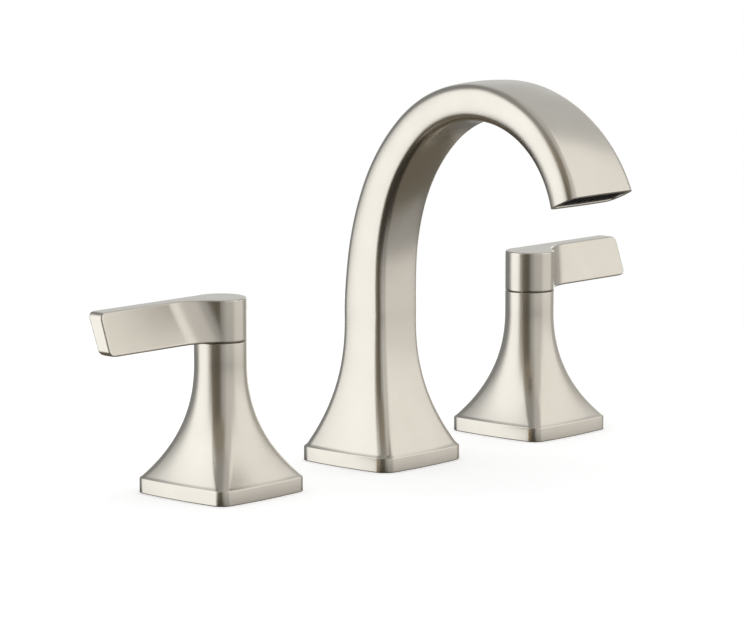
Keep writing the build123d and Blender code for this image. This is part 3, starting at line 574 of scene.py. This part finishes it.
def moulded(name, dark, light, rough_low, rough_high, scale, bump):
    """A moulded or pressed finish: mottled colour, uneven gloss and a fine bump."""
    made, nodes, links, shader = material(name)
    grain = noise(nodes, links, scale)
    cloud = noise(nodes, links, scale * moulded_cloud_share)
    links.new(tinted(nodes, links, cloud.outputs["Fac"], dark, light), shader.inputs["Base Color"])
    links.new(ranged(nodes, links, grain.outputs["Fac"], rough_low, rough_high), shader.inputs["Roughness"])
    bumped(nodes, links, shader, grain.outputs["Fac"], bump, moulded_bump_depth)
    return made


nickel = worked_metal(
    "brushed_nickel", dark=(0.695, 0.652, 0.588), light=(0.725, 0.682, 0.618),
    rough_low=0.25, rough_high=0.265, scale=900.0, stretch=(0.25, 0.25, 3.0), bump=0.003)
steel = worked_metal(
    "drawn_steel", dark=(0.50, 0.50, 0.49), light=(0.60, 0.60, 0.59),
    rough_low=0.28, rough_high=0.42, scale=700.0, stretch=(1, 1, 4), bump=0.1)
brass = worked_metal(
    "turned_brass", dark=(0.66, 0.48, 0.22), light=(0.78, 0.60, 0.30),
    rough_low=0.22, rough_high=0.36, scale=600.0, stretch=(0.3, 0.3, 5), bump=0.1)
rubber = moulded(
    "black_rubber", dark=(0.012, 0.012, 0.012), light=(0.022, 0.022, 0.022),
    rough_low=0.6, rough_high=0.8, scale=1500.0, bump=0.2)
foam = moulded(
    "grey_foam", dark=(0.10, 0.10, 0.10), light=(0.18, 0.18, 0.18),
    rough_low=0.8, rough_high=0.95, scale=2500.0, bump=0.6)
nylon = moulded(
    "natural_nylon", dark=(0.72, 0.70, 0.64), light=(0.80, 0.78, 0.72),
    rough_low=0.35, rough_high=0.5, scale=1200.0, bump=0.08)
ceramic = moulded(
    "lapped_ceramic", dark=(0.78, 0.77, 0.73), light=(0.86, 0.85, 0.82),
    rough_low=0.12, rough_high=0.2, scale=900.0, bump=0.03)
black_plastic = moulded(
    "black_plastic", dark=(0.010, 0.010, 0.011), light=(0.020, 0.020, 0.021),
    rough_low=0.4, rough_high=0.55, scale=1400.0, bump=0.12)

slot_material = {
    "nickel": nickel, "steel": steel, "brass": brass, "rubber": rubber,
    "foam": foam, "nylon": nylon, "ceramic": ceramic, "black_plastic": black_plastic,
}
for part in frame["record"]["subparts"]:
    node = frame["nodes"][part["node"]]
    for slot in node.material_slots:
        slot.material = slot_material[part["material_slot"]]

# Pieces


def dressed(piece, node, body):
    """Gives a new piece its finish and its body, and hides the node it stands for."""
    piece.data.materials.clear()
    piece.data.materials.append(nickel)
    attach(piece, body)
    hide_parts(node)


for side, outward in (("hot", -1), ("cold", 1)):
    dressed(build_escutcheon(f"{side}_cover", outward * valve_x), f"{side}_escutcheon", "faucet")
    dressed(build_lever(f"{side}_handle", outward * valve_x, outward), f"{side}_lever", f"{side}_handle")
dressed(build_spout("spout"), "spout_body", "faucet")


# Studio
floor_half_x = 0.42
floor_half_y = 0.36
floor_colour = (0.9, 0.9, 0.9, 1)
floor_roughness = 0.9
floor_glow = 0.3
world_light = 0.6
world_seen = 1.0
camera_side = 222.04
card_distance = 2.6
card_columns = 25
card_rows = 13
lamp_power = 12
lamp_width = 1.8
lamp_place = (0.0, 0.1, 1.8)


def seen_ray(nodes, links):
    """One for rays that show the background: camera, glossy and transmission rays."""
    path = nodes.new("ShaderNodeLightPath")
    first = nodes.new("ShaderNodeMath")
    first.operation = "MAXIMUM"
    second = nodes.new("ShaderNodeMath")
    second.operation = "MAXIMUM"
    links.new(path.outputs["Is Camera Ray"], first.inputs[0])
    links.new(path.outputs["Is Glossy Ray"], first.inputs[1])
    links.new(first.outputs[0], second.inputs[0])
    links.new(path.outputs["Is Transmission Ray"], second.inputs[1])
    return second.outputs[0]


def build_world():
    """A white world that lights the object at a lower level than the one that camera and gloss see."""
    world = bpy.data.worlds.new("studio")
    bpy.context.scene.world = world
    world.use_nodes = True
    nodes, links = world.node_tree.nodes, world.node_tree.links
    back = nodes["Background"]
    back.inputs["Color"].default_value = (1, 1, 1, 1)
    level = nodes.new("ShaderNodeMapRange")
    level.inputs["To Min"].default_value = world_light
    level.inputs["To Max"].default_value = world_seen
    links.new(seen_ray(nodes, links), level.inputs["Value"])
    links.new(level.outputs["Result"], back.inputs["Strength"])


def build_floor():
    """A flat pale floor on the deck's plane that keeps the object's shadow. The metal doesn't mirror it."""
    mesh = bpy.data.meshes.new("floor")
    corners = [(-1, -1), (1, -1), (1, 1), (-1, 1)]
    mesh.from_pydata([(x * floor_half_x, y * floor_half_y, 0) for x, y in corners], [], [(0, 1, 2, 3)])
    floor = bpy.data.objects.new("floor", mesh)
    bpy.context.scene.collection.objects.link(floor)
    floor.visible_glossy = False
    finish, nodes, links, shader = material("pale_floor")
    shader.inputs["Base Color"].default_value = floor_colour
    shader.inputs["Roughness"].default_value = floor_roughness
    shader.inputs["Specular IOR Level"].default_value = 0.0
    shader.inputs["Emission Color"].default_value = (1, 1, 1, 1)
    glow = nodes.new("ShaderNodeMath")
    glow.operation = "MULTIPLY"
    glow.inputs[1].default_value = floor_glow
    links.new(seen_ray(nodes, links), glow.inputs[0])
    links.new(glow.outputs[0], shader.inputs["Emission Strength"])
    mesh.materials.append(finish)


def studio_card(name, turn_from, turn_to, low, high, brightness, colour):
    """A curved studio card far from the object that only its gloss shows: a patch of a sphere between two
    turns from the camera's side and two elevations, in degrees."""
    turn = np.radians(camera_side + np.linspace(turn_from, turn_to, card_columns))[None, :]
    rise = np.radians(np.linspace(low, high, card_rows))[:, None]
    points = np.stack([np.cos(rise) * np.cos(turn), np.cos(rise) * np.sin(turn), np.sin(rise) + 0 * turn], 2)
    index = np.arange(card_rows * card_columns).reshape(card_rows, card_columns)
    faces = np.stack([index[:-1, :-1], index[:-1, 1:], index[1:, 1:], index[1:, :-1]], 2).reshape(-1, 4)
    mesh = bpy.data.meshes.new(name)
    mesh.from_pydata((points.reshape(-1, 3) * card_distance).tolist(), [], faces.tolist())
    card = bpy.data.objects.new(name, mesh)
    bpy.context.scene.collection.objects.link(card)
    finish = bpy.data.materials.new(name)
    finish.use_nodes = True
    nodes = finish.node_tree.nodes
    nodes.remove(nodes["Principled BSDF"])
    glow = nodes.new("ShaderNodeEmission")
    glow.inputs["Color"].default_value = (*colour, 1)
    glow.inputs["Strength"].default_value = brightness
    finish.node_tree.links.new(glow.outputs[0], nodes["Material Output"].inputs["Surface"])
    mesh.materials.append(finish)
    card.visible_camera = False
    card.visible_diffuse = False
    card.visible_shadow = False
    card.visible_transmission = False
    card.visible_volume_scatter = False


def lamp(name, place, target, width, power):
    """A soft square lamp that faces a target. The metal doesn't mirror it."""
    light = bpy.data.lights.new(name, "AREA")
    light.shape = "RECTANGLE"
    light.size = width
    light.size_y = width
    light.energy = power
    made = bpy.data.objects.new(name, light)
    bpy.context.scene.collection.objects.link(made)
    direction = np.array(target) - np.array(place)
    made.location = place
    yaw = math.atan2(direction[1], direction[0])
    pitch = math.atan2(direction[2], math.hypot(direction[0], direction[1]))
    made.rotation_euler = (math.pi / 2 + pitch, 0, yaw - math.pi / 2)
    made.visible_glossy = False


build_world()
build_floor()

# The cards: the turns and elevations that each one spans, its strength and its tint
cool = (0.98, 1.0, 1.0)
warm = (1.0, 0.99, 0.96)
dark = (1.0, 0.89, 0.70)
for card in (
        ("base_front_card", -60, 60, -89, -27, 0.04, dark),
        ("base_back_card", 60, 300, -89, -27, 0.16, dark),
        ("left_edge_card", -112, -102, -12, 46, 0.60, cool),
        ("left_soft_card", -102, -53, -27, 46, 1.36, cool),
        ("left_top_card", -112, -53, 46, 56, 0.95, cool),
        ("left_back_card", -165, -112, -12, 56, 0.27, cool),
        ("left_low_card", -165, -102, -27, -12, 0.04, dark),
        ("front_low_card", -53, 20, -27, -12, 0.04, dark),
        ("front_edge_card", -53, -41, -12, 56, 0.75, warm),
        ("front_shade_card", -41, -20, -12, 30, 0.17, dark),
        ("front_dark_card", -20, 2, -12, 30, 0.13, dark),
        ("front_top_card", -41, 20, 30, 56, 0.27, dark),
        ("right_edge_card", 2, 20, -12, 30, 0.46, warm),
        ("right_grey_card", 20, 62, -9, 56, 0.68, warm),
        ("right_grey_low_card", 20, 62, -27, -9, 0.3, warm),
        ("right_low_card", 62, 118, -27, -12, 0.38, warm),
        ("right_step_card", 62, 118, -12, 0, 0.85, warm),
        ("right_soft_card", 62, 118, 0, 56, 1.06, warm),
        ("right_back_card", 118, 150, -12, 24, 0.45, warm),
        ("back_bright_card", 150, 168, -12, 24, 1.3, cool),
        ("back_card", 168, 195, -12, 24, 0.72, cool),
        ("back_top_card", 118, 195, 24, 56, 0.6, cool),
        ("back_low_card", 118, 195, -27, -12, 0.17, warm),
        ("left_crown_card", -180, 20, 56, 89, 0.32, warm),
        ("right_crown_card", 20, 180, 56, 89, 0.54, warm)):
    studio_card(*card)
lamp("top_lamp", lamp_place, (0, 0, 0), lamp_width, lamp_power)

# Camera, fitted to the photo's frame, with its focal length in the photo's pixels
picture_width = 744
focal_pixels = 3986.59
sensor_width = 36.0
camera_place = (-1.29081, -1.15829, 0.32106)
camera_below_level = 8.4633
camera_turn = -47.9573
camera_data = bpy.data.cameras.new("camera")
camera_data.sensor_width = sensor_width
camera_data.lens = focal_pixels / picture_width * sensor_width
camera_data.clip_start = 0.05
camera_data.clip_end = 50
camera = bpy.data.objects.new("camera", camera_data)
bpy.context.scene.collection.objects.link(camera)
camera.location = camera_place
camera.rotation_euler = (math.radians(90 - camera_below_level), 0, math.radians(camera_turn))
bpy.context.scene.camera = camera
bpy.context.scene.view_settings.view_transform = "Standard"
